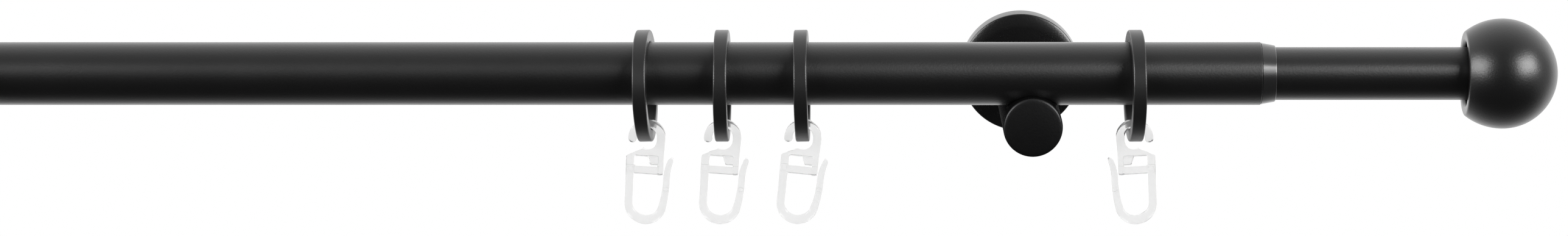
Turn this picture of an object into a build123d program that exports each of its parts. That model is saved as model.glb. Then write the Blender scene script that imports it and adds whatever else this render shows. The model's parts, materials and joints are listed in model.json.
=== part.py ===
from build123d import *
import math
import os

os.makedirs("parts", exist_ok=True)

# The rod runs along X, the wall is the plane Y = 0 with the room at -Y, and Z is up.
# The origin lies on the wall, midway between the brackets, at the height of their arms.

# Rod
bracket_spacing = 440.0
finial_overhang = 130.9  # bracket axis to finial mouth, at both ends
tube_overhang = 69.1  # right bracket axis to the end of the outer tube
rod_reach = 80.0  # wall to rod axis
outer_tube_d = 19.0
outer_tube_wall = 0.6
inner_tube_d = 16.0
inner_tube_wall = 0.6
tube_edge_r = 0.25
slide_gap = 0.1  # radial room round the sliding tube
closed_gap = 15.0  # room left behind the inner tube when the rod is pushed shut

# Reducing sleeve and guide bush
collar_length = 4.25
collar_seam = 0.15  # dark line between tube end and collar
collar_start_d = 18.6
collar_end_d = 17.0
collar_edge_r = 0.45
sleeve_shank_length = 26.0
sleeve_fit = 0.05  # radial room between shank and tube
bush_length = 5.0
bush_plug_length = 9.0
bush_plug_wall = 1.2

# Ball finials
ball_d = 33.3
ball_mouth_d = 25.3
ball_mouth_to_centre = 11.45
ball_rim_r = 0.8
finial_bore_gap = 0.15  # radial room round the outer tube
finial_seat = 16.0  # how far a tube goes into a ball
finial_bore_spare = 2.0  # bore beyond the tube's end
insert_recess = 2.5  # mouth to the front of the reducing insert
insert_fit = 0.1  # radial room of the insert in the bore and round the tube

# Small screws
grub_d = 4.0
grub_sunk = 1.3  # how far a grub screw ends inside the ball's greatest radius
grub_gap = 0.05  # between a grub screw's tip and what it presses on
thread_gap = 0.1  # radial room in a screw hole
grub_socket_d = 2.2
grub_socket_depth = 1.6
finial_screw_x = 8.0  # mouth to grub screw

# Wall plate
plate_t = 3.6
plate_centre_hole_d = 12.0
wall_hole_d = 4.6
wall_hole_spacing = 23.0
plate_notch_depth = 1.0

# Rosette
rosette_d = 38.0
rosette_draft = 0.2  # how far the front edge stands in from the back edge
rosette_rim = 2.0
rosette_t = 6.2
rosette_front_wall = 2.3
rosette_edge_r = 0.7
plate_gap = 0.2  # radial room round the wall plate
rosette_grub_d = 3.0
rosette_grub_sunk = 0.3
rosette_socket_d = 1.6

# Bracket arm
arm_d = 18.0
arm_nose = 12.0  # rod axis to the flat front disc
arm_edge_r = 0.45
saddle_depth = 4.15
saddle_gap = 0.1

# Arm screw and rod screw
arm_screw_d = 5.0
arm_screw_length = 12.0
arm_screw_head_d = 9.0
arm_screw_head_t = 2.3
arm_screw_slot = 1.2
rod_screw_d = 3.0
rod_screw_head_d = 6.0
rod_screw_head_t = 1.7
rod_screw_sunk = 0.3
rod_screw_bite_left = 0.15  # tube wall left between the screw's tip and the bore

# Rings: distance of each from its bracket, towards the middle of the rod, its turn and its lean
ring_od = 33.8
ring_band = 3.5
ring_width = 4.1
ring_edge_r = 0.45
ring_gap = 0.15  # between ring and tube where the ring hangs
ring_places = [117.1, 93.7, 69.6, -31.3]
ring_turns = [5.0, 2.2, 1.9, -1.8]
ring_leans = [2.2, 0.5, 1.4, 0.0]
hook_tilts = [2.7, 3.5, 5.6, 2.8]
hook_faces = [1, 1, 1, -1]  # which way the hook's catch points

# Pleat hook, u across and v down from the centre of its curl
hook_gap = 0.2  # between the curl and the ring's band
hook_drop = 0.55  # the curl hangs a little below the band's middle
hook_t = 2.6
curl_wire = 2.6
curl_stretch = 0.75  # the curl is this much higher than it is wide
curl_tip_deg = 186.0
curl_lip_deg = 247.0
shoulder_drop = 2.0  # all drops are below the curl's inner bottom
window_drop = 2.15
bar_drop = 5.25
bar_height = 2.45
bar_recess = 0.5
loop_drop = 16.45
waist_drop = 8.8
catch_tip_drop = 3.15
leg_overhang = 0.35  # left leg beyond the curl's outer edge
leg_width = 2.5
right_leg_inset = 0.25
right_leg_width = 1.85
barb_width = 3.2
barb_slant = 0.9
barb_slot = 0.5
loop_bottom_extra = 0.35
loop_offset = 0.42
loop_out_join_deg = -11.0  # where the outer and inner edges leave the loop for the waist
loop_in_join_deg = -15.0
waist_width = 2.05
snap_gap = 0.35  # between the catch and the frame's corner
catch_lead = 1.15  # how far the catch leans out above its waist
catch_tip_width = 1.75
frame_corner_r = 0.9
shoulder_r = 0.5
lip_r = 0.3
window_r = 0.35

# What follows from the sizes above
tube_r = outer_tube_d / 2
tube_bore_r = tube_r - outer_tube_wall
thin_r = inner_tube_d / 2
thin_bore_r = thin_r - inner_tube_wall
saddle_r = tube_r + saddle_gap
rod_rise = arm_d / 2 + saddle_r - saddle_depth
bracket_x = bracket_spacing / 2
mouth_x = bracket_x + finial_overhang
outer_end_x = bracket_x + tube_overhang
collar_end_x = outer_end_x + collar_seam + collar_length
tube_left_x = -(mouth_x + finial_seat)
inner_right_x = mouth_x + finial_seat
inner_left_x = tube_left_x + (mouth_x - collar_end_x) + closed_gap
finial_bore_r = tube_r + finial_bore_gap
finial_bore_depth = finial_seat + finial_bore_spare
grub_hole_r = grub_d / 2 + thread_gap
rosette_grub_hole_r = rosette_grub_d / 2 + thread_gap
rosette_cavity = rosette_t - rosette_front_wall
rosette_front_r = rosette_d / 2 - rosette_draft
plate_d = rosette_d - 2 * (rosette_rim + plate_gap)
ring_mid_r = (ring_od - ring_band) / 2
ring_drop = ring_od / 2 - ring_band - tube_r - ring_gap
band_corner = (ring_width / 2 - ring_edge_r, ring_band / 2 - ring_edge_r + hook_drop)
curl_r = math.hypot(*band_corner) + ring_edge_r + hook_gap
curl_out_r = curl_r + curl_wire
curl_floor = -curl_r - curl_stretch

on_base = (Align.CENTER, Align.CENTER, Align.MIN)
rod_line = Axis((0, -rod_reach, rod_rise), (1, 0, 0))
rod_profile_plane = Plane((0, -rod_reach, rod_rise), x_dir=(1, 0, 0), z_dir=(0, -1, 0))


def across_rod(x):
    return Plane((x, -rod_reach, rod_rise), x_dir=(0, 1, 0), z_dir=(1, 0, 0))


def on_wall(x, depth=0.0):
    return Plane((x, -depth, 0), x_dir=(1, 0, 0), z_dir=(0, -1, 0))


def upright(x, y, z):
    return Plane((x, y, z), x_dir=(1, 0, 0), z_dir=(0, 0, 1))


def polar(radius, degrees, centre=(0.0, 0.0)):
    angle = math.radians(degrees)
    return (centre[0] + radius * math.cos(angle), centre[1] + radius * math.sin(angle))


def spin_about_rod(*corners):
    return revolve(rod_profile_plane * make_face(Polyline(*corners, close=True)), rod_line)


def tube(diameter, wall, x_start, x_end):
    section = Circle(diameter / 2) - Circle(diameter / 2 - wall)
    return extrude(across_rod(x_start) * section, x_end - x_start)


def edges_at(solid, axis, place, radius):
    on_plane = solid.edges().filter_by(GeomType.CIRCLE).filter_by_position(axis, place - 0.01, place + 0.01)
    return on_plane.filter_by(lambda edge: abs(edge.radius - radius) < 0.01)


def outer_tube():
    body = tube(outer_tube_d, outer_tube_wall, tube_left_x, outer_end_x)
    body = fillet(edges_at(body, Axis.X, outer_end_x, tube_r), tube_edge_r)
    for x in (-bracket_x, bracket_x):
        hole = Circle(rod_screw_d / 2 + thread_gap)
        body -= extrude(upright(x, -rod_reach, rod_rise - outer_tube_d) * hole, outer_tube_d)
    return body


def inner_tube():
    return tube(inner_tube_d, inner_tube_wall, inner_left_x, inner_right_x)


def reducing_sleeve():
    bore_r = thin_r + slide_gap
    shank_r = tube_bore_r - sleeve_fit
    collar_x = outer_end_x + collar_seam
    body = spin_about_rod(
        (outer_end_x - sleeve_shank_length, bore_r),
        (collar_end_x, bore_r),
        (collar_end_x, collar_end_d / 2),
        (collar_x, collar_start_d / 2),
        (collar_x, shank_r),
        (outer_end_x - sleeve_shank_length, shank_r),
    )
    thin_wall = collar_end_d / 2 - bore_r
    return fillet(edges_at(body, Axis.X, collar_end_x, collar_end_d / 2), min(collar_edge_r, 0.9 * thin_wall))


def inner_guide_bush():
    plug_r = thin_bore_r - sleeve_fit
    return spin_about_rod(
        (inner_left_x - bush_length, plug_r - bush_plug_wall),
        (inner_left_x + bush_plug_length, plug_r - bush_plug_wall),
        (inner_left_x + bush_plug_length, plug_r),
        (inner_left_x, plug_r),
        (inner_left_x, tube_bore_r - slide_gap),
        (inner_left_x - bush_length, tube_bore_r - slide_gap),
    )


def ball_finial(side):
    # side is 1 for the right end of the rod and -1 for the left
    def at(distance, radius):
        return (side * (mouth_x + distance), radius)

    ball_r = ball_d / 2
    rim_r = ball_mouth_d / 2
    crown = at(ball_mouth_to_centre, ball_r)
    far_end = at(ball_mouth_to_centre + ball_r, 0)
    bore_corner = at(finial_bore_depth, finial_bore_r)
    profile = Curve() + [
        Polyline(far_end, at(finial_bore_depth, 0), bore_corner, at(0, finial_bore_r), at(0, rim_r)),
        TangentArc(crown, at(0, rim_r), tangent=(-side, 0)),
        ThreePointArc(crown, at(*polar(ball_r, 45, (ball_mouth_to_centre, 0))), far_end),
    ]
    body = revolve(rod_profile_plane * make_face(profile), rod_line)
    body = fillet(edges_at(body, Axis.X, side * mouth_x, rim_r), ball_rim_r)
    screw_x = side * (mouth_x + finial_screw_x)
    return body - extrude(upright(screw_x, -rod_reach, rod_rise - ball_d) * Circle(grub_hole_r), ball_d)


def finial_insert():
    front_x = mouth_x + insert_recess
    length = finial_seat - insert_recess
    section = Circle(finial_bore_r - insert_fit) - Circle(thin_r + insert_fit)
    body = extrude(across_rod(front_x) * section, length)
    screw_hole = Circle(grub_hole_r)
    below = upright(mouth_x + finial_screw_x, -rod_reach, rod_rise - ball_d)
    return body - extrude(below * screw_hole, ball_d)


def finial_screw(side, clamped_r):
    tip_r = clamped_r + grub_gap
    length = ball_d / 2 - grub_sunk - tip_r
    x = side * (mouth_x + finial_screw_x)
    place = Plane((x, -rod_reach, rod_rise - tip_r), x_dir=(1, 0, 0), z_dir=(0, 0, -1))
    socket_end = Pos(0, 0, length - grub_socket_depth)
    socket = extrude(place * socket_end * RegularPolygon(grub_socket_d / 2, 6), grub_socket_depth)
    return extrude(place * Circle(grub_d / 2), length) - socket


def wall_plate(x):
    section = Circle(plate_d / 2) - Circle(plate_centre_hole_d / 2)
    for z in (-wall_hole_spacing / 2, wall_hole_spacing / 2):
        section -= Pos(0, z) * Circle(wall_hole_d / 2)
    body = extrude(on_wall(x) * section, plate_t)
    notch = upright(x, -plate_t / 2, -plate_d) * Circle(rosette_grub_hole_r)
    return body - extrude(notch, plate_d / 2 + plate_notch_depth)


def rosette(x):
    cavity_r = plate_d / 2 + plate_gap
    hole_r = arm_screw_d / 2 + thread_gap
    profile = make_face(
        Polyline(
            (cavity_r, 0),
            (rosette_d / 2, 0),
            (rosette_front_r, -rosette_t),
            (hole_r, -rosette_t),
            (hole_r, -rosette_cavity),
            (cavity_r, -rosette_cavity),
            close=True,
        )
    )
    body = revolve(Pos(x, 0, 0) * profile, Axis((x, 0, 0), (0, 1, 0)))
    body = fillet(edges_at(body, Axis.Y, -rosette_t, rosette_front_r), rosette_edge_r)
    grub_hole = upright(x, -plate_t / 2, -rosette_d) * Circle(rosette_grub_hole_r)
    return body - extrude(grub_hole, rosette_d)


def rosette_screw(x):
    tip_z = -(plate_d / 2 - plate_notch_depth + grub_gap)
    length = rosette_d / 2 - rosette_grub_sunk + tip_z
    place = Plane((x, -plate_t / 2, tip_z), x_dir=(1, 0, 0), z_dir=(0, 0, -1))
    body = extrude(place * Circle(rosette_grub_d / 2), length)
    socket = extrude(place * Pos(0, 0, length / 2) * RegularPolygon(rosette_socket_d / 2, 6), length / 2)
    return body - socket


def bracket_arm(x):
    front = rod_reach + arm_nose
    body = extrude(on_wall(x, rosette_t) * Circle(arm_d / 2), front - rosette_t)
    body = fillet(edges_at(body, Axis.Y, -front, arm_d / 2), arm_edge_r)
    body -= extrude(across_rod(x - arm_d) * Circle(saddle_r), 2 * arm_d)
    body -= extrude(on_wall(x, rosette_t) * Circle(arm_screw_d / 2 + thread_gap), arm_screw_length)
    underside = upright(x, -rod_reach, -arm_d / 2)
    body -= extrude(underside * Circle(rod_screw_d / 2 + thread_gap), arm_d)
    head_r = rod_screw_head_d / 2 + thread_gap
    body -= extrude(underside * Circle(head_r), rod_screw_sunk)
    seat = Cone(head_r, rod_screw_d / 2 + thread_gap, rod_screw_head_t, align=on_base)
    return body - underside * Pos(0, 0, rod_screw_sunk) * seat


def arm_screw(x):
    head_back = rosette_cavity - arm_screw_head_t
    head = extrude(on_wall(x, head_back) * Circle(arm_screw_head_d / 2), arm_screw_head_t)
    slot = extrude(on_wall(x, head_back) * Rectangle(arm_screw_head_d, arm_screw_slot), arm_screw_slot)
    shank_length = rosette_front_wall + arm_screw_length - slide_gap
    shank = extrude(on_wall(x, rosette_cavity) * Circle(arm_screw_d / 2), shank_length)
    return head - slot + shank


def rod_screw(x):
    low_z = rod_screw_sunk - arm_d / 2
    tip_z = rod_rise - tube_bore_r - rod_screw_bite_left
    place = upright(x, -rod_reach, low_z)
    head = place * Cone(rod_screw_head_d / 2, rod_screw_d / 2, rod_screw_head_t, align=on_base)
    shank = extrude(place * Circle(rod_screw_d / 2), tip_z - low_z)
    socket = extrude(place * RegularPolygon(grub_socket_d / 2, 6), rod_screw_head_t / 2)
    return head + shank - socket


def ring():
    # built round the X axis, centred on the origin
    band = Pos(0, ring_mid_r) * RectangleRounded(ring_width, ring_band, ring_edge_r)
    return revolve(band, Axis.X)


def corner(face, point):
    return face.vertices().sort_by_distance(Vector(*point))[0]


def hook_outline():
    leg_out = curl_out_r + leg_overhang
    right_edge = curl_out_r - right_leg_inset
    low_centre = (0, -curl_stretch)
    loop = (loop_offset, curl_floor - loop_drop)
    loop_out_r = leg_out + loop_offset
    loop_in_r = loop_out_r - leg_width
    bar_low = curl_floor - bar_drop - bar_height
    waist_v = curl_floor - waist_drop
    waist_in = right_edge + snap_gap - frame_corner_r * (1 - math.sqrt(0.5))
    waist_out = waist_in + waist_width
    tip_v = curl_floor - catch_tip_drop
    tip_in = waist_in + catch_lead
    tip_out = tip_in + catch_tip_width
    out_centre = (0, -curl_stretch / 2)
    tip_out_end = polar(curl_out_r, curl_tip_deg, out_centre)
    tip_in_end = polar(curl_r, curl_tip_deg)
    curl_mid = ((tip_out_end[0] + tip_in_end[0]) / 2, (tip_out_end[1] + tip_in_end[1]) / 2)
    curl_end = polar(curl_wire / 2, curl_tip_deg + 90, curl_mid)
    lip = polar(curl_r, curl_lip_deg, low_centre)
    shoulder = (-leg_out, curl_floor - shoulder_drop)
    loop_low = (loop_offset, loop[1] - loop_out_r - loop_bottom_extra)
    out_join = polar(loop_out_r, loop_out_join_deg, loop)
    in_join = polar(loop_in_r, loop_in_join_deg, loop)
    frame_corner = (right_edge, bar_low)
    tip_top = ((tip_in + tip_out) / 2, tip_v + catch_tip_width / 2)
    lines = Curve() + [
        ThreePointArc(tip_out_end, curl_end, tip_in_end),
        ThreePointArc(tip_in_end, (0, curl_r), (curl_r, 0)),
        Line((curl_r, 0), (curl_r, -curl_stretch)),
        ThreePointArc((curl_r, -curl_stretch), polar(curl_r, -45, low_centre), lip),
        Polyline(lip, shoulder, (-leg_out, loop[1])),
        ThreePointArc((-leg_out, loop[1]), loop_low, out_join),
        TangentArc((waist_out, waist_v), out_join, tangent=(0, -1)),
        TangentArc((waist_out, waist_v), (tip_out, tip_v), tangent=(0, 1)),
        ThreePointArc((tip_out, tip_v), tip_top, (tip_in, tip_v)),
        TangentArc((waist_in, waist_v), (tip_in, tip_v), tangent=(0, 1)),
        TangentArc((waist_in, waist_v), in_join, tangent=(0, -1)),
        ThreePointArc(in_join, (loop_offset, loop[1] - loop_in_r), (loop_offset - loop_in_r, loop[1])),
        Polyline((loop_offset - loop_in_r, loop[1]), (loop_offset - loop_in_r, bar_low), frame_corner),
        Polyline(frame_corner, (right_edge, curl_floor - shoulder_drop), polar(curl_out_r, 0, out_centre)),
        ThreePointArc(polar(curl_out_r, 0, out_centre), polar(curl_out_r, 90, out_centre), tip_out_end),
    ]
    face = make_face(lines)
    face = fillet(corner(face, frame_corner), frame_corner_r)
    face = fillet(corner(face, shoulder), shoulder_r)
    return fillet(corner(face, lip), lip_r)


def hook_window():
    left = loop_offset - (curl_out_r + leg_overhang + loop_offset - leg_width)
    right = curl_out_r - right_leg_inset - right_leg_width
    top = curl_floor - window_drop
    low = curl_floor - bar_drop
    barb_low = low + barb_slot
    barb_left = right - barb_width
    face = make_face(
        Polyline(
            (left, top),
            (barb_left, top),
            (barb_left + barb_slant, barb_low),
            (right, barb_low),
            (right, low),
            (left, low),
            close=True,
        )
    )
    for point in ((left, top), (barb_left + barb_slant, barb_low)):
        face = fillet(corner(face, point), window_r)
    return face


def hook():
    # u along X, v along Z and the thickness along Y, centred on the curl
    flat = Plane((0, hook_t / 2, 0), x_dir=(1, 0, 0), z_dir=(0, -1, 0))
    body = extrude(flat * (hook_outline() - hook_window()), hook_t)
    bar_left = -(curl_out_r + leg_overhang - leg_width)
    bar_right = curl_out_r - right_leg_inset - right_leg_width
    bar_mid = curl_floor - bar_drop - bar_height / 2
    recess = Box(bar_right - bar_left, 2 * bar_recess, bar_height)
    for y in (-hook_t / 2, hook_t / 2):
        body -= Pos((bar_left + bar_right) / 2, y, bar_mid) * recess
    return body


def ring_frames():
    # rings 1 to 4 belong to the right bracket, and rings 5 to 8 mirror them at the left one
    for side in (1, -1):
        for place, turn, lean, tilt, face in zip(ring_places, ring_turns, ring_leans, hook_tilts, hook_faces):
            x = side * (bracket_x - place)
            at_rod = Location((x, -rod_reach, rod_rise - ring_drop), (0, -side * lean, -side * turn))
            hangs = Location((0, 0, -ring_mid_r - hook_drop), (0, side * (face * tilt + lean), 0))
            yield at_rod, hangs, side * face


def save(name, solid):
    export_step(solid, f"parts/{name}.step")


save("outer_tube", outer_tube())
save("inner_tube", inner_tube())
save("reducing_sleeve", reducing_sleeve())
save("inner_guide_bush", inner_guide_bush())
save("finial_insert_right", finial_insert())
for end, side, clamped_r in (("right", 1, thin_r), ("left", -1, tube_r)):
    x = side * bracket_x
    save(f"ball_finial_{end}", ball_finial(side))
    save(f"finial_screw_{end}", finial_screw(side, clamped_r))
    save(f"wall_plate_{end}", wall_plate(x))
    save(f"rosette_{end}", rosette(x))
    save(f"rosette_screw_{end}", rosette_screw(x))
    save(f"bracket_arm_{end}", bracket_arm(x))
    save(f"arm_screw_{end}", arm_screw(x))
    save(f"rod_screw_{end}", rod_screw(x))

plain_ring = ring()
right_hook = hook()
left_hook = mirror(right_hook, Plane.YZ)
for number, (at_rod, hangs, face) in enumerate(ring_frames(), start=1):
    save(f"ring_{number}", at_rod * plain_ring)
    save(f"hook_{number}", at_rod * hangs * (right_hook if face > 0 else left_hook))
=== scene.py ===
import json
import math

import bmesh
import bpy
from mathutils import Euler, Matrix, Vector
from mathutils.geometry import delaunay_2d_cdt


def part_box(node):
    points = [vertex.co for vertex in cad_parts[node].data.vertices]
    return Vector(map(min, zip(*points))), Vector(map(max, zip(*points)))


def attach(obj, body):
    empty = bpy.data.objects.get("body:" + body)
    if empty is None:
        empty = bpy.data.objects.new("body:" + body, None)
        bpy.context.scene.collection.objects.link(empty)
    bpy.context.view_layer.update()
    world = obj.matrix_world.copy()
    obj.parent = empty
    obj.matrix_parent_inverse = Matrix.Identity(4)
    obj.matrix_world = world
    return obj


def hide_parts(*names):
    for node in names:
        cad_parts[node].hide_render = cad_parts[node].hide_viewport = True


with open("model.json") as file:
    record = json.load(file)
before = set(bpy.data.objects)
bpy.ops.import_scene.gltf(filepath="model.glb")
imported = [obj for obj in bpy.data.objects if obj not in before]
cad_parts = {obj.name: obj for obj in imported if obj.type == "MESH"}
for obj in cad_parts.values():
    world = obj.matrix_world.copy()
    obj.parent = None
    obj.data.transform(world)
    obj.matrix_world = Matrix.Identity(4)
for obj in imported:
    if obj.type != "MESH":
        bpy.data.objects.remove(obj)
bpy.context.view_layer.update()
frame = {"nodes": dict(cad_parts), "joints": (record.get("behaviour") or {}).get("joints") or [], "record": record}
nodes = frame["nodes"]
mm = 0.001


class Val:  # a shader socket that can be used in sums
    def __init__(self, shade, socket):
        self.shade = shade
        self.socket = socket

    def __add__(self, other):
        return self.shade.maths("ADD", self, other)

    def __sub__(self, other):
        return self.shade.maths("SUBTRACT", self, other)

    def __rsub__(self, other):
        return self.shade.maths("SUBTRACT", other, self)

    def __mul__(self, other):
        return self.shade.maths("MULTIPLY", self, other)

    def __truediv__(self, other):
        return self.shade.maths("DIVIDE", self, other)

    def __rtruediv__(self, other):
        return self.shade.maths("DIVIDE", other, self)

    __radd__ = __add__
    __rmul__ = __mul__


class Shade:  # the nodes of one material or of the world
    def __init__(self, owner):
        owner.use_nodes = True
        self.tree = owner.node_tree

    def fill(self, node, sockets):
        for key, value in sockets.items():
            socket = node.inputs[key]
            if isinstance(value, Val):
                self.tree.links.new(value.socket, socket)
            else:
                socket.default_value = value

    def add(self, kind, settings=None, sockets=None, out=0):
        node = self.tree.nodes.new(kind)
        for key, value in (settings or {}).items():
            if key == "stops":
                ramp = node.color_ramp.elements
                while len(ramp) < len(value):
                    ramp.new(0.5)
                for stop, (place, grey) in zip(ramp, value):
                    stop.position = place
                    stop.color = (grey, grey, grey, 1)
            else:
                setattr(node, key, value)
        self.fill(node, sockets or {})
        return Val(self, node.outputs[out])

    def same(self, val, out):  # another output of the same node
        return Val(self, val.socket.node.outputs[out])

    def maths(self, operation, *values):
        return self.add("ShaderNodeMath", {"operation": operation}, dict(enumerate(values)))

    def noise(self, perMetre, detail, roughness):
        place = self.add("ShaderNodeTexCoord", out="Object")
        sockets = {"Vector": place, "Scale": perMetre, "Detail": detail, "Roughness": roughness}
        return self.add("ShaderNodeTexNoise", None, sockets)

    def tint(self, factor, dark, light):
        sockets = {0: factor, 6: (*dark, 1), 7: (*light, 1)}  # 6, 7 and output 2 are a Mix node's colours
        return self.add("ShaderNodeMix", {"data_type": "RGBA"}, sockets, out=2)

    def inSight(self):  # 1 for what the camera sees, also through the clear hooks
        camera = self.add("ShaderNodeLightPath", out="Is Camera Ray")
        return self.maths("MAXIMUM", camera, self.same(camera, "Is Transmission Ray"))


def newFinish(name, sockets):
    material = bpy.data.materials.new(name)
    shade = Shade(material)
    shader = shade.tree.nodes["Principled BSDF"]
    shade.fill(shader, sockets)
    return material, shade, shader


# Powder coat of the balls, from which the other coats start
powder = {
    "dark": (0.0024, 0.0024, 0.0025),
    "light": (0.0036, 0.0036, 0.0037),
    "roughness": 0.34,
    "metallic": 0.0,
    "edgeShine": 1.0,
    "specular": 1.0,
    "ior": 1.5,
    "anisotropic": 0.0,
    "grain": {"perMetre": 1500, "detail": 3.0, "roughness": 0.6},  # waves of about 0.7 mm
    "grainHeight": 0.00006,
    "grainStrength": 0.5,
    "grainRoughness": 0.04,
    "cloud": {"perMetre": 45, "detail": 4.0, "roughness": 0.5},
    "cloudRoughness": 0.06,
}

# The tubes' shine spreads along them, as on tubes that are ground round before coating
ground = {**powder, "roughness": 0.36, "anisotropic": 0.36}

# Rosettes are a little smoother
pressed = {**powder, "roughness": 0.28}

# Arms are set as a dark metal without a bright edge, which paints shade on their sides so they stay dark there
armSideShade = {
    **powder,
    "dark": (0.052, 0.052, 0.053),
    "light": (0.058, 0.058, 0.059),
    "roughness": 0.4,
    "metallic": 1.0,
    # no edge tint: painted shade on the arms' sides
    "edgeShine": 0.0,
}

# Rings have a satin paint with less grain
satin = {
    **powder,
    "dark": (0.0040, 0.0040, 0.0041),
    "light": (0.0054, 0.0054, 0.0055),
    "roughness": 0.38,
    "grainHeight": 0.000008,
    "grainStrength": 0.25,
    "cloud": {**powder["cloud"], "perMetre": 110},
}

# Sleeve, bush and insert are semi-gloss mouldings
moulded = {
    **powder,
    "dark": (0.009, 0.009, 0.0094),
    "light": (0.012, 0.012, 0.0125),
    "roughness": 0.25,
    "ior": 1.7,
    "grain": {**powder["grain"], "perMetre": 2600},
    "grainHeight": 0.000004,
    "grainStrength": 0.1,
    "cloud": {**powder["cloud"], "perMetre": 60},
    "cloudRoughness": 0.04,
}


def coatFinish(name, look):
    material, shade, shader = newFinish(name, {
        "Metallic": look["metallic"],
        "Specular Tint": (look["edgeShine"],) * 3 + (1,),
        "Specular IOR Level": look["specular"],
        "IOR": look["ior"],
        "Anisotropic": look["anisotropic"],
    })
    grain = shade.noise(**look["grain"])
    cloud = shade.noise(**look["cloud"])
    bump = shade.add("ShaderNodeBump", None, {
        "Strength": look["grainStrength"], "Distance": look["grainHeight"], "Height": grain})
    spread = (cloud - 0.5) * look["cloudRoughness"] + (grain - 0.5) * look["grainRoughness"]
    shade.fill(shader, {
        "Base Color": shade.tint(grain, look["dark"], look["light"]),
        "Roughness": look["roughness"] + spread,
        "Normal": bump,
    })
    return material


# Zinc plate and blackened screws
zinc = {
    "dark": (0.40, 0.40, 0.41),
    "light": (0.56, 0.56, 0.55),
    "roughness": 0.36,
    "spangle": {"perMetre": 420, "detail": 3.0, "roughness": 0.65},
    "spangleRoughness": 0.2,
}
steel = {
    **zinc,
    "dark": (0.06, 0.06, 0.063),
    "light": (0.11, 0.11, 0.112),
    "roughness": 0.33,
    "spangle": {**zinc["spangle"], "perMetre": 1300},
}


def metalFinish(name, look):
    material, shade, shader = newFinish(name, {"Metallic": 1.0})
    spangle = shade.noise(**look["spangle"])
    shade.fill(shader, {
        "Base Color": shade.tint(spangle, look["dark"], look["light"]),
        "Roughness": look["roughness"] + (spangle - 0.5) * look["spangleRoughness"],
    })
    return material


# Clear hooks, a little milky
clear = {
    "tint": (0.88, 0.88, 0.88),
    "clarity": 0.87,
    "ior": 1.36,
    "roughness": 0.08,
    "flow": {"perMetre": 240, "detail": 2.0, "roughness": 0.5},
    "flowHeight": 0.00004,
    "flowStrength": 0.12,
    "flowRoughness": 0.06,
}


def clearFinish(name, look):
    material, shade, shader = newFinish(name, {
        "Base Color": (*look["tint"], 1), "Transmission Weight": look["clarity"], "IOR": look["ior"]})
    flow = shade.noise(**look["flow"])
    bump = shade.add("ShaderNodeBump", None, {
        "Strength": look["flowStrength"], "Distance": look["flowHeight"], "Height": flow})
    shade.fill(shader, {
        "Roughness": look["roughness"] + (flow - 0.5) * look["flowRoughness"],
        "Normal": bump,
    })
    return material


finishes = {
    "black_powder_coat": coatFinish("powderCoat", powder),
    "black_satin_ring": coatFinish("satinRing", satin),
    "dark_plastic": coatFinish("darkMoulding", moulded),
    "clear_moulding": clearFinish("clearMoulding", clear),
    "zinc_plate": metalFinish("zincPlate", zinc),
    "screw_steel": metalFinish("blackScrew", steel),
}
groundFinish = coatFinish("groundCoat", ground)
# arms' coat, with painted shade on their sides
armSideShadeFinish = coatFinish("armCoatSideShade", armSideShade)
pressedFinish = coatFinish("pressedCoat", pressed)
slotOf = {row["node"]: row["material_slot"] for row in frame["record"]["subparts"]}
for name, node in nodes.items():
    node.data.materials.clear()
    node.data.materials.append(finishes[slotOf[name]])
print("finishes:", ", ".join(finishes))

sharpAngle = 40  # edges sharper than this stay crisp


def newPiece(name, mesh, body, stoodFor, finish=None):
    mesh.polygons.foreach_set("use_smooth", [True] * len(mesh.polygons))
    mesh.set_sharp_from_angle(angle=math.radians(sharpAngle))
    piece = bpy.data.objects.new(name, mesh)
    bpy.context.scene.collection.objects.link(piece)
    mesh.materials.append(finish or finishes[slotOf[stoodFor]])
    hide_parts(stoodFor)
    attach(piece, body)
    return piece


def meshFrom(name, bm):
    bmesh.ops.recalc_face_normals(bm, faces=bm.faces[:])
    mesh = bpy.data.meshes.new(name)
    bm.to_mesh(mesh)
    bm.free()
    return mesh


def combined(first, second, operation):  # one closed skin from two that overlap
    base, other = bpy.data.objects.new("base", first), bpy.data.objects.new("other", second)
    for skin in (base, other):
        bpy.context.scene.collection.objects.link(skin)
    boolean = base.modifiers.new("combined", "BOOLEAN")
    boolean.object = other
    boolean.operation = operation
    boolean.solver = "EXACT"
    bpy.context.view_layer.update()
    made = bpy.data.meshes.new_from_object(base.evaluated_get(bpy.context.evaluated_depsgraph_get()))
    for skin in (base, other):
        bpy.data.objects.remove(skin)
    return made


# Tubes in mm: fine turned skins with rolled ends, in the place of the solids
tubes = {
    "outerTube": {"node": "outer_tube", "body": "root", "wall": 0.6, "edge": 0.25},
    "innerTube": {"node": "inner_tube", "body": "inner_rod", "wall": 0.6, "edge": 0.2},
}
tubeSides = 128
edgeSteps = 4
shineSpace = {"aside": 1, "size": (1000, 1, 1)}  # texture space that lays a tube's shine along it
ballLow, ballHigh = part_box("ball_finial_right")
rodHeight = (ballLow.z + ballHigh.z) / 2


def turned(profile, sides, loop=False):  # profile of (along, radius) points, turned about X
    bm = bmesh.new()
    angles = [2 * math.pi * side / sides for side in range(sides)]
    rings = []
    for x, radius in profile:
        if radius == 0:
            rings.append([bm.verts.new((x, 0, 0))] * sides)
        else:
            rings.append([bm.verts.new((x, radius * math.cos(a), radius * math.sin(a))) for a in angles])
    for ring, nextRing in zip(rings, rings[1:] + (rings[:1] if loop else [])):
        for side in range(sides):
            after = (side + 1) % sides
            corners = dict.fromkeys((ring[side], ring[after], nextRing[after], nextRing[side]))
            bm.faces.new(list(corners))
    return bm


def rounded(end, radius, edge, way=1, last=90):  # round from the side of a bar to its end face
    turns = [math.radians(last * step / edgeSteps) for step in range(edgeSteps + 1)]
    return [(end - way * edge * (1 - math.sin(a)), radius - edge * (1 - math.cos(a))) for a in turns]


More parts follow.
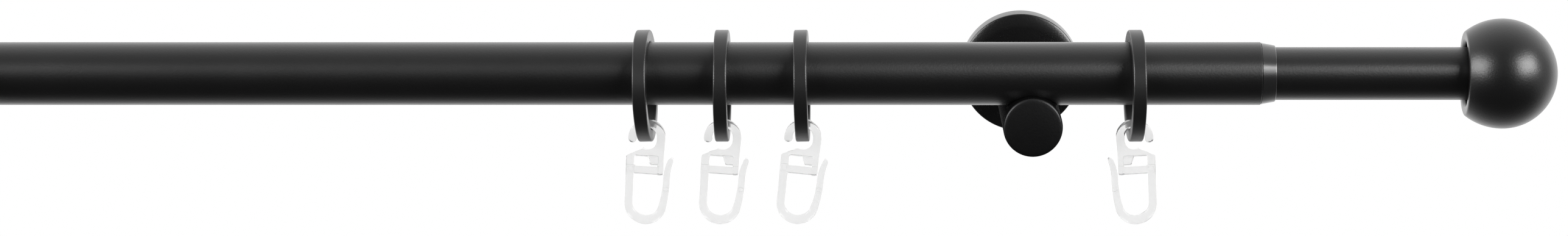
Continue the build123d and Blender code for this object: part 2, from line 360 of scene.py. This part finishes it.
def turnedTube(name, sizes):
    low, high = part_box(sizes["node"])
    centreY = (low.y + high.y) / 2
    radius = (high.y - low.y) / 2
    bore = radius - sizes["wall"] * mm
    edge = sizes["edge"] * mm
    profile = rounded(low.x, radius, edge, -1)[::-1] + rounded(high.x, radius, edge)
    bm = turned(profile + [(high.x, bore), (low.x, bore)], tubeSides, loop=True)
    bm.transform(Matrix.Translation((0, centreY, rodHeight)))
    piece = newPiece(name, meshFrom(name, bm), sizes["body"], sizes["node"], groundFinish)
    piece.data.use_auto_texspace = False
    piece.data.texspace_location = (0, centreY - shineSpace["aside"], 0)
    piece.data.texspace_size = shineSpace["size"]
    return piece


for name, sizes in tubes.items():
    turnedTube(name, sizes)
print("tubes: rod axis at", round(rodHeight / mm, 3), "mm")

# Brackets in mm: faces crowned towards their edges, in the place of the flat solids
bracket = {
    "rim": 2.0,
    "frontWall": 2.3,
    "draft": 0.2,
    "rosetteEdge": 0.5,
    "crownFrom": 14.5,  # radius where the rosette's face starts to fall
    "crownDrop": 0.75,
    "grubR": 1.6,
    "grubFromWall": 1.8,
    "armEdge": 0.8,
    "discDrop": 0.5,
    "saddleGap": 0.1,
    "armScrewR": 2.6,
    "armScrewDepth": 12.0,
    "rodScrewR": 1.6,
    "rodHeadR": 3.1,
    "rodHeadSunk": 0.3,
    "rodHeadDeep": 1.7,
}
bracketSides = 120
crownSteps = 10
toFront = Matrix.Rotation(math.radians(-90), 4, "Z")
toTop = Matrix.Rotation(math.radians(-90), 4, "Y")


def crowned(end, edgeR, drop, fromR):  # face that falls by drop from fromR out to edgeR
    shares = [1 - step / crownSteps for step in range(1, crownSteps + 1)]
    return [(end - drop * share ** 2, fromR + (edgeR - fromR) * share) for share in shares]


def crownedEnd(end, radius, edge, drop, fromR):  # rounded corner and crowned face
    last = 90 - math.degrees(math.atan(2 * drop / (radius - edge - fromR)))
    corner = rounded(end - drop, radius, edge, last=last)
    cornerEnd, cornerR = corner[-1]
    return corner + crowned(cornerEnd + drop, cornerR, drop, fromR)


def bar(start, end, radius):  # profile of a round bar
    return [(start, 0), (start, radius), (end, radius), (end, 0)]


def bored(mesh, profile, place):
    tool = turned(profile, bracketSides)
    tool.transform(place)
    return combined(mesh, meshFrom("tool", tool), "DIFFERENCE")


def rosette(name, node):
    low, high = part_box(node)
    size = {key: value * mm for key, value in bracket.items()}
    radius, deep = (high.x - low.x) / 2, high.y - low.y
    centre = Matrix.Translation(((low.x + high.x) / 2, high.y, (low.z + high.z) / 2))
    inner = radius - size["rim"]
    back = deep - size["frontWall"]
    frontR, screwR = radius - size["draft"], size["armScrewR"]
    profile = [(0, inner), (0, radius)]
    profile += crownedEnd(deep, frontR, size["rosetteEdge"], size["crownDrop"], size["crownFrom"])
    profile += [(deep, screwR), (back, screwR), (back, inner)]
    bm = turned(profile, bracketSides, loop=True)
    bm.transform(centre @ toFront)
    hole = bar(-2 * radius, 0, size["grubR"])
    place = centre @ Matrix.Translation((0, -size["grubFromWall"], 0)) @ toTop
    return newPiece(name, bored(meshFrom(name, bm), hole, place), "root", node, pressedFinish)


def bracketArm(name, node):
    low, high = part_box(node)
    tubeLow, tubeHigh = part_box("outer_tube")
    size = {key: value * mm for key, value in bracket.items()}
    radius, centreX = (high.x - low.x) / 2, (low.x + high.x) / 2
    rodY = (tubeLow.y + tubeHigh.y) / 2
    back, front = -high.y, -low.y
    bottom = back + size["armScrewDepth"]
    profile = [(bottom, 0), (bottom, size["armScrewR"]), (back, size["armScrewR"]), (back, radius)]
    bm = turned(profile + crownedEnd(front, radius, size["armEdge"], size["discDrop"], 0), bracketSides)
    bm.transform(Matrix.Translation((centreX, 0, 0)) @ toFront)
    saddle = bar(-2 * radius, 2 * radius, (tubeHigh.y - tubeLow.y) / 2 + size["saddleGap"])
    made = bored(meshFrom(name, bm), saddle, Matrix.Translation((centreX, rodY, rodHeight)))
    sunk, seat = size["rodHeadSunk"], size["rodHeadSunk"] + size["rodHeadDeep"]
    hole = [(-radius, 0), (-radius, size["rodHeadR"]), (sunk, size["rodHeadR"]), (seat, size["rodScrewR"])]
    hole += [(2 * radius, size["rodScrewR"]), (2 * radius, 0)]
    made = bored(made, hole, Matrix.Translation((centreX, rodY, -radius)) @ toTop)
    return newPiece(name, made, "root", node, armSideShadeFinish)


for end in ("Right", "Left"):
    rosette("rosette" + end, "rosette_" + end.lower())
    bracketArm("bracketArm" + end, "bracket_arm_" + end.lower())
print("brackets: 2 rosettes, 2 arms")

arcGap = 0.22  # mm between points on the hook's arcs
fewestSteps = 3


def polar(radius, degrees, centre=(0, 0)):
    angle = math.radians(degrees)
    return Vector((centre[0] + radius * math.cos(angle), centre[1] + radius * math.sin(angle)))


def sweep(centre, radius, start, end, steps=None):
    steps = steps or max(fewestSteps, math.ceil(radius * math.radians(abs(end - start)) / arcGap))
    return [polar(radius, start + (end - start) * step / steps, centre) for step in range(steps + 1)]


# Balls in mm, with a rolled edge where the tube goes in
ball = {
    "mouthR": 12.65,
    "rimEdge": 0.8,
    "boreR": 9.65,
    "boreEdge": 1.1,
    "boreDepth": 18.0,
    "grubR": 2.1,
    "grubFromMouth": 8.0,
}
ballSides = 160
ballSteps = 40


def ballFinial(name, node, body, side):
    low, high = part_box(node)
    size = {key: value * mm for key, value in ball.items()}
    radius = (high.y - low.y) / 2
    centre = high.x - low.x - radius
    edge, rimEdge = size["boreEdge"], size["rimEdge"]
    fall = radius - size["mouthR"]
    neckR = (centre ** 2 + fall ** 2) / (2 * fall)  # the neck is flatter than the ball
    neckY = radius - neckR
    rimY = neckY + math.sqrt((neckR - rimEdge) ** 2 - (centre - rimEdge) ** 2)
    rimTurn = 180 - math.degrees(math.atan2(rimY - neckY, centre - rimEdge))
    profile = [(size["boreDepth"], 0), (size["boreDepth"], size["boreR"])]
    profile += sweep((edge, size["boreR"] + edge), edge, 270, 180, edgeSteps * 2)
    profile += sweep((rimEdge, rimY), rimEdge, 180, rimTurn, edgeSteps)
    profile += sweep((centre, neckY), neckR, rimTurn, 90, ballSteps)[1:]
    profile += sweep((centre, 0), radius, 90, 0, ballSteps)[1:-1] + [(centre + radius, 0)]
    mouth = Matrix.Translation((low.x if side > 0 else high.x, (low.y + high.y) / 2, rodHeight))
    mouth = mouth @ Matrix.Rotation(math.radians(0 if side > 0 else 180), 4, "Z")
    bm = turned(profile, ballSides)
    bm.transform(mouth)
    hole = bar(-2 * radius, 0, size["grubR"])
    place = mouth @ Matrix.Translation((size["grubFromMouth"], 0, 0)) @ toTop
    return newPiece(name, bored(meshFrom(name, bm), hole, place), body, node)


ballFinial("ballRight", "ball_finial_right", "inner_rod", 1)
ballFinial("ballLeft", "ball_finial_left", "root", -1)
print("balls: 2")

# Pleat hook in mm, u across and v up from the centre of its curl
hook = {
    "thickness": 2.6,
    "curlR": 3.096,
    "wire": 2.6,
    "stretch": 0.75,  # the curl is this much higher than wide
    "curlTip": 186.0,
    "lip": 247.0,
    "lipLead": 8.0,  # degrees of the curl that the lip's corner takes
    "lipR": 0.3,
    "shoulderDrop": 2.0,
    "shoulderR": 0.5,
    "windowDrop": 2.15,
    "windowR": 0.35,
    "barDrop": 5.25,
    "barHeight": 2.45,
    "barThickness": 1.6,
    "barLap": 0.9,  # how far bar and barb run into the frame
    "barLift": 0.02,  # bar's lower face above the frame's
    "barRound": 0.15,
    "padProud": 0.1,  # raised ends of the bar
    "padInset": 0.12,
    "padLift": 0.05,
    "padOver": 0.03,
    "markR": 0.85,  # ejector marks on the left leg and on the catch
    "markProud": 0.2,
    "catchMarkR": 0.7,
    "catchMarkDrop": 12.2,
    "loopDrop": 16.45,
    "loopOffset": 0.42,
    "loopExtra": 0.35,
    "outJoin": -11.0,
    "inJoin": -15.0,
    "legOverhang": 0.35,
    "legWidth": 2.5,
    "rightInset": 0.25,
    "rightWidth": 1.85,
    "cornerR": 0.9,
    "barbWidth": 3.2,
    "barbSlant": 0.9,
    "barbSlot": 0.5,
    "barbR": 0.6,
    "barbThickness": 1.7,
    "waistDrop": 8.8,
    "waistWidth": 2.05,
    "snapGap": 0.35,
    "catchDrop": 3.15,
    "catchLead": 1.15,
    "catchWidth": 1.75,
    "roundCurl": 0.45,  # edge rounding of the curl, the frame, the catch and the loop
    "roundFrame": 0.15,
    "roundCatch": 0.25,
    "roundLoop": 0.7,
    "curlEnd": -1.0,  # where one rounding starts to turn into the next, and over what length
    "curlRun": 3.0,
    "frameEnd": 0.2,  # below the bar
    "frameRun": 2.5,
    "catchEnd": 7.0,  # below the bar
    "catchRun": 3.0,
    "rightClear": 0.05,
}


def arcThrough(first, middle, last):
    a, b, c = Vector(first), Vector(middle), Vector(last)
    ab, ac = b - a, c - a
    twice = 2 * (ab.x * ac.y - ab.y * ac.x)
    offset = Vector((ac.y * ab.length_squared - ab.y * ac.length_squared,
                     ab.x * ac.length_squared - ac.x * ab.length_squared)) / twice
    centre = a + offset
    angles = [math.degrees(math.atan2(p.y - centre.y, p.x - centre.x)) for p in (a, b, c)]
    way = 1 if twice > 0 else -1
    span = way * (angles[2] - angles[0]) % 360
    return sweep(centre, offset.length, angles[0], angles[0] + way * span)


def arcFrom(first, last, along):  # leaves first in the direction along and ends at last
    a, c, t = Vector(first), Vector(last), Vector(along).normalized()
    chord = c - a
    side = Vector((-t.y, t.x))
    radius = chord.length_squared / (2 * chord.dot(side))
    centre = a + side * radius
    middle = (a + c) / 2 - centre
    return arcThrough(a, centre + middle.normalized() * abs(radius), c)


def bend(before, corner, after, radius):
    a, p, c = Vector(before), Vector(corner), Vector(after)
    u, w = (a - p).normalized(), (c - p).normalized()
    half = u.angle(w) / 2
    start, end = p + u * radius / math.tan(half), p + w * radius / math.tan(half)
    centre = p + (u + w).normalized() * radius / math.sin(half)
    return arcThrough(start, centre + (p - centre).normalized() * radius, end)


def oblong(left, low, right, high):
    return [Vector(p) for p in ((left, low), (right, low), (right, high), (left, high))]


def hookShape(h):  # outline, what is added to it, and where the rounding changes
    outR = h["curlR"] + h["wire"]
    floor = -h["curlR"] - h["stretch"]
    lowCentre, outCentre = (0, -h["stretch"]), (0, -h["stretch"] / 2)
    legOut = outR + h["legOverhang"]
    right = outR - h["rightInset"]
    rightIn = right - h["rightWidth"]
    legIn = h["legWidth"] - legOut
    loop = (h["loopOffset"], floor - h["loopDrop"])
    loopOutR = legOut + h["loopOffset"]
    loopInR = loopOutR - h["legWidth"]
    barTop = floor - h["barDrop"]
    barLow = barTop - h["barHeight"]
    waistIn = Vector((right + h["snapGap"] - h["cornerR"] * (1 - math.sqrt(0.5)), floor - h["waistDrop"]))
    waistOut = waistIn + Vector((h["waistWidth"], 0))
    catchIn = Vector((waistIn.x + h["catchLead"], floor - h["catchDrop"]))
    catchOut = catchIn + Vector((h["catchWidth"], 0))
    catchTop = (catchIn + catchOut) / 2 + Vector((0, h["catchWidth"] / 2))
    tipOut, tipIn = polar(outR, h["curlTip"], outCentre), polar(h["curlR"], h["curlTip"])
    tipEnd = polar(h["wire"] / 2, h["curlTip"] + 90, (tipOut + tipIn) / 2)
    lip = polar(h["curlR"], h["lip"], lowCentre)
    beforeLip = polar(h["curlR"], h["lip"] + h["lipLead"], lowCentre)
    shoulder = Vector((-legOut, floor - h["shoulderDrop"]))
    outJoin, inJoin = polar(loopOutR, h["outJoin"], loop), polar(loopInR, h["inJoin"], loop)
    windowTop = floor - h["windowDrop"]
    barbLow = barTop + h["barbSlot"]
    barbLeft = rightIn - h["barbWidth"]
    up, down = (0, 1), (0, -1)

    points = arcThrough(tipOut, tipEnd, tipIn)
    points += sweep((0, 0), h["curlR"], h["curlTip"], 0)
    points += sweep(lowCentre, h["curlR"], 0, h["lip"] - 360 + h["lipLead"])
    points += bend(beforeLip, lip, shoulder, h["lipR"])
    points += bend(lip, shoulder, (-legOut, loop[1]), h["shoulderR"])
    points += arcThrough((-legOut, loop[1]), (loop[0], loop[1] - loopOutR - h["loopExtra"]), outJoin)
    points += arcFrom(waistOut, outJoin, down)[::-1]
    points += arcFrom(waistOut, catchOut, up)[:-1]
    points += arcThrough(catchOut, catchTop, catchIn)[2:-2]  # less the points that crowd its ends
    points += arcFrom(waistIn, catchIn, up)[-2::-1]
    points += arcFrom(waistIn, inJoin, down)
    points += arcThrough(inJoin, (loop[0], loop[1] - loopInR), (legIn, loop[1]))
    points += bend((legIn, loop[1]), (legIn, windowTop), (rightIn, windowTop), h["windowR"])
    points += bend((legIn, windowTop), (rightIn, windowTop), (rightIn, barLow), h["windowR"])
    points += bend((rightIn, windowTop), (rightIn, barLow), (right, barLow), h["windowR"])
    points += bend((rightIn, barLow), (right, barLow), (right, floor), h["cornerR"])
    points += [Vector((right, floor - h["shoulderDrop"]))]
    points += sweep(outCentre, outR, 0, h["curlTip"])[:-1]

    lap, inset = h["barLap"], h["padInset"]
    barbTip = Vector((barbLeft + h["barbSlant"], barbLow))
    barbTop = Vector((barbLeft, windowTop)).lerp(barbTip, -lap / (windowTop - barbLow))
    barb = bend(barbTop, barbTip, (rightIn + lap, barbLow), h["barbR"])
    barb += [Vector((rightIn + lap, barbLow)), Vector((rightIn + lap, barbTop.y)), barbTop]
    catchLines = [arcFrom(waistOut, outJoin, down), arcFrom(waistIn, inJoin, down)]
    catchMark = [min(line, key=lambda p: abs(p.y - floor + h["catchMarkDrop"])) for line in catchLines]
    legMark = (h["legWidth"] / 2 - legOut, (barTop + barLow) / 2)
    pad, mark = h["thickness"] + 2 * h["padProud"], h["thickness"] + 2 * h["markProud"]
    padTop = barTop + h["padOver"]
    additions = [
        (oblong(legIn - lap, barLow + h["barLift"], rightIn + lap, barTop), h["barThickness"]),
        (barb, h["barbThickness"]),
        (oblong(inset - legOut, barLow + h["padLift"], legIn - inset, padTop), pad),
        (oblong(rightIn + inset, barLow + inset, right - inset, padTop), pad),
        (sweep(legMark, h["markR"], 0, 360)[:-1], mark),
        (sweep((catchMark[0] + catchMark[1]) / 2, h["catchMarkR"], 0, 360)[:-1], mark),
    ]
    levels = {
        "curl": h["curlEnd"],
        "frame": barLow - h["frameEnd"],
        "catch": barLow - h["catchEnd"],
        "right": right + h["rightClear"],
        "arm": loopInR,
    }
    return points, additions, levels


# How a flat moulding's edges are rounded
moulding = {
    "edgeTurns": 6,
    "runGap": 0.4,  # mm between points on straight runs
    "leastGap": 0.02,
    "capLedge": 0.04,  # flat strip inside the rounding
    "leastMitre": 0.5,
    "smoothings": 3,
    "leastRun": 0.1,  # share of a run that its inner edge keeps
    "easing": 0.9,
    "merge": 1e-6,
}


def spaced(points):
    even = []
    for point, after in zip(points, points[1:] + points[:1]):
        length = (after - point).length
        if length < moulding["leastGap"]:
            continue
        count = max(1, math.ceil(length / moulding["runGap"]))
        even += [point.lerp(after, k / count) for k in range(count)]
    return even


def inwardWays(points):
    nextPoints = points[1:] + points[:1]
    area = sum(a.x * b.y - a.y * b.x for a, b in zip(points, nextPoints))
    inward = 1 if area > 0 else -1
    ways = []
    for i, (point, nextPoint) in enumerate(zip(points, nextPoints)):
        before, after = (point - points[i - 1]).normalized(), (nextPoint - point).normalized()
        normal = Vector((-before.y - after.y, before.x + after.x)).normalized() * inward
        ways.append(normal / max(moulding["leastMitre"], math.sqrt((1 + before.dot(after)) / 2)))
    return ways


def easedRounding(points, ways, sizes):  # less of it where an inner edge would cross itself
    count = len(points)
    for _ in range(moulding["smoothings"]):
        sizes = [(sizes[i - 1] + 2 * sizes[i] + sizes[(i + 1) % count]) / 4 for i in range(count)]
    while True:
        inner = [point + way * (size + moulding["capLedge"]) for point, way, size in zip(points, ways, sizes)]
        tight = set()
        for i in range(count):
            run = points[i] - points[i - 1]
            if (inner[i] - inner[i - 1]).dot(run) < moulding["leastRun"] * run.length_squared:
                tight |= {i - 1, i}
        if not tight:
            return sizes, inner
        for i in tight:
            sizes[i] *= moulding["easing"]


def slabMesh(points, thickness, rounding):
    points = spaced(points)
    count = len(points)
    ways = inwardWays(points)
    sizes, inner = easedRounding(points, ways, [rounding(point) for point in points])
    turns = [math.radians(90 * k / moulding["edgeTurns"]) for k in range(moulding["edgeTurns"] + 1)]
    steps = [(1 - math.cos(a), math.sin(a) - 1, 0.0) for a in turns] + [(1, 0, moulding["capLedge"])]
    bm = bmesh.new()
    rings = []
    for side in (-1, 1):
        made = []
        for inShare, upShare, extra in steps:
            ring = []
            for point, way, size in zip(points, ways, sizes):
                place = point + way * (size * inShare + extra)
                depth = side * (thickness / 2 + size * upShare)
                ring.append(bm.verts.new((place.x, -depth, place.y)))
            made.append(ring)
        rings += made[::-1] if side < 0 else made
    for ring, nextRing in zip(rings, rings[1:]):
        for i in range(count):
            after = (i + 1) % count
            bm.faces.new((ring[i], ring[after], nextRing[after], nextRing[i]))
    flat = delaunay_2d_cdt(inner, [], [list(range(count))], 1, moulding["merge"])
    for ring in (rings[0], rings[-1]):
        for face in flat[2]:
            bm.faces.new([ring[flat[3][corner][0]] for corner in face])
    return meshFrom("slab", bm)


outline, additions, levels = hookShape(hook)


def between(first, second, share):
    return hook[first] + (hook[second] - hook[first]) * min(1, max(0, share))


def hookRounding(point):
    u, v = point
    if v > levels["curl"] - hook["curlRun"]:
        return between("roundCurl", "roundFrame", (levels["curl"] - v) / hook["curlRun"])
    if u > levels["arm"] and (u > levels["right"] or v < levels["frame"]):
        return between("roundCatch", "roundLoop", (levels["catch"] - v) / hook["catchRun"])
    return between("roundFrame", "roundLoop", (levels["frame"] - v) / hook["frameRun"])


hookMesh = slabMesh(outline, hook["thickness"], hookRounding)
for points, thickness in additions:
    hookMesh = combined(hookMesh, slabMesh(points, thickness, lambda point: hook["barRound"]), "UNION")
print("hook:", len(hookMesh.polygons), "faces")

# How the rings and their hooks hang, in degrees for the right half
hang = {
    "turn": [5.0, 2.2, 1.9, -1.8],
    "lean": [2.2, 0.5, 1.4, 0.0],
    "tilt": [2.7, 3.5, 5.6, 2.8],
    "face": [1, 1, 1, -1],
    "drop": 15.7,  # mm from ring centre to curl centre
}
ringCentre = {j["child"]: Vector(j["pos_m"]) for j in frame["joints"] if j["name"].endswith("_swing")}


def turnedBy(y=0.0, z=0.0):
    return Matrix.Rotation(math.radians(y), 4, "Y") @ Matrix.Rotation(math.radians(z), 4, "Z")


number = 0
for side in (1, -1):
    for turn, lean, tilt, face in zip(hang["turn"], hang["lean"], hang["tilt"], hang["face"]):
        number += 1
        node = f"hook_{number}"
        place = Matrix.Translation(ringCentre[node]) @ turnedBy(-side * lean, -side * turn)
        place = place @ Matrix.Translation((0, 0, -hang["drop"] * mm)) @ turnedBy(side * (face * tilt + lean))
        place = place @ Matrix.Diagonal((side * face * mm, mm, mm, 1))
        bm = bmesh.new()
        bm.from_mesh(hookMesh)
        bm.transform(place)
        piece = newPiece(f"pleatHook{number}", meshFrom(node, bm), node, node)
        low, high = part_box(node)
        off = []
        for axis in range(3):
            places = [vert.co[axis] for vert in piece.data.vertices]
            off.append(max(abs(min(places) - low[axis]), abs(max(places) - high[axis])))
        print("hook", number, "off by", [round(d / mm, 3) for d in off])

# Studio: white sweep behind and above, dark room in front
studio = {
    "diffuse": 0.3,
    "stops": [  # round the rod: behind, below, in front, above and behind again
        (0.0, 1.6), (0.125, 1.25), (0.167, 0.64), (0.211, 0.31), (0.253, 0.12), (0.306, 0.035), (0.5, 0.02),
        (0.611, 0.06), (0.667, 0.2), (0.717, 0.36), (0.78, 0.7), (0.9, 1.3), (1.0, 1.6),
    ],
    "side": 0.4,  # beyond the rod's ends
    "sideFrom": 0.75,
}
world = bpy.data.worlds.new("studio")
bpy.context.scene.world = world
air = Shade(world)
seen = air.inSight()
glossy = air.add("ShaderNodeLightPath", out="Is Glossy Ray")
along = air.add("ShaderNodeSeparateXYZ", None, {0: air.add("ShaderNodeTexCoord", out="Generated")})
back, rise = air.same(along, "Y"), air.same(along, "Z")
angle = air.maths("ARCTAN2", rise, back * -1.0)
level = air.add("ShaderNodeValToRGB", {"stops": studio["stops"]}, {0: angle / (2 * math.pi) + 0.5})
edgeOn = air.add("ShaderNodeMapRange", {"interpolation_type": "SMOOTHSTEP"}, {
    "Value": air.maths("ABSOLUTE", along), "From Min": studio["sideFrom"], "From Max": 1.0})
shine = level * (1 - edgeOn) + edgeOn * studio["side"]
strength = seen + (1 - seen) * (glossy * shine + (1 - glossy) * studio["diffuse"])
air.fill(air.tree.nodes["Background"], {"Color": (1, 1, 1, 1), "Strength": strength})

lamps = {
    "leftBox": {"from": (-55, 21.5), "distance": 6.0, "size": (3.9, 2.9), "radiance": 5.9},
    "rightBox": {"from": (51, 23), "distance": 6.0, "size": (4.0, 3.0), "radiance": 7.4},
}
lampTarget = Vector((0.33, -0.08, 0.014))
for name, lamp in lamps.items():
    turn, tip = (math.radians(a) for a in lamp["from"])
    way = Vector((math.sin(turn) * math.cos(tip), -math.cos(turn) * math.cos(tip), math.sin(tip)))
    light = bpy.data.lights.new(name, "AREA")
    light.shape = "RECTANGLE"
    light.size, light.size_y = lamp["size"]
    light.energy = lamp["radiance"] * math.pi * lamp["size"][0] * lamp["size"][1]
    holder = bpy.data.objects.new(name, light)
    bpy.context.scene.collection.objects.link(holder)
    holder.location = lampTarget + way * lamp["distance"]
    holder.rotation_euler = (-way).to_track_quat("-Z", "Y").to_euler()
    holder.visible_camera = False
print("lamps:", ", ".join(lamps))

# Pale floor far under the rod, white to the camera
floorPaper = {
    "height": -1.2,
    "half": (0.9, 0.7),
    "centre": (0.0, -0.1),
    "grey": 0.8,
    "roughness": 0.9,
    "specular": 0.1,
}
(halfX, halfY), (centreX, centreY) = floorPaper["half"], floorPaper["centre"]
bm = bmesh.new()
bm.faces.new([bm.verts.new((centreX + x * halfX, centreY + y * halfY, floorPaper["height"]))
              for x, y in ((-1, -1), (1, -1), (1, 1), (-1, 1))])
floorMesh = bpy.data.meshes.new("floor")
bm.to_mesh(floorMesh)
bm.free()
floor = bpy.data.objects.new("floor", floorMesh)
bpy.context.scene.collection.objects.link(floor)
floorFinish, shade, shader = newFinish("floorPaper", {
    "Base Color": (floorPaper["grey"],) * 3 + (1,),
    "Roughness": floorPaper["roughness"],
    "Specular IOR Level": floorPaper["specular"],
})
white = shade.add("ShaderNodeEmission", None, {"Color": (1, 1, 1, 1), "Strength": 1.0})
mix = shade.add("ShaderNodeMixShader", None, {0: shade.inSight(), 1: Val(shade, shader.outputs[0]), 2: white})
shade.fill(shade.tree.nodes["Material Output"], {"Surface": mix})
floorMesh.materials.append(floorFinish)
floor.visible_glossy = False
print("floor at", floorPaper["height"], "m")

# Camera of the photograph, 2576 by 387
view = {
    "focalPixels": 8600,
    "width": 2576,
    "sensor": 36.0,
    "nearest": 0.01,
    "pitch": 11.7,
    "aim": (0.145, -0.08, 0.01445),
    "distance": 1.584,
    "lift": -0.01343,
}
lens = bpy.data.cameras.new("photoCamera")
lens.sensor_fit = "HORIZONTAL"
lens.sensor_width = view["sensor"]
lens.lens = view["sensor"] * view["focalPixels"] / view["width"]
lens.clip_start = view["nearest"]
camera = bpy.data.objects.new("photoCamera", lens)
bpy.context.scene.collection.objects.link(camera)
camera.rotation_euler = Euler((math.radians(90 - view["pitch"]), 0, 0))
tip = math.radians(view["pitch"])
ahead, upward = Vector((0, math.cos(tip), -math.sin(tip))), Vector((0, math.sin(tip), math.cos(tip)))
camera.location = Vector(view["aim"]) - ahead * view["distance"] + upward * view["lift"]
bpy.context.scene.camera = camera
bpy.context.scene.view_settings.view_transform = "Standard"
print("camera at", [round(c, 4) for c in camera.location])
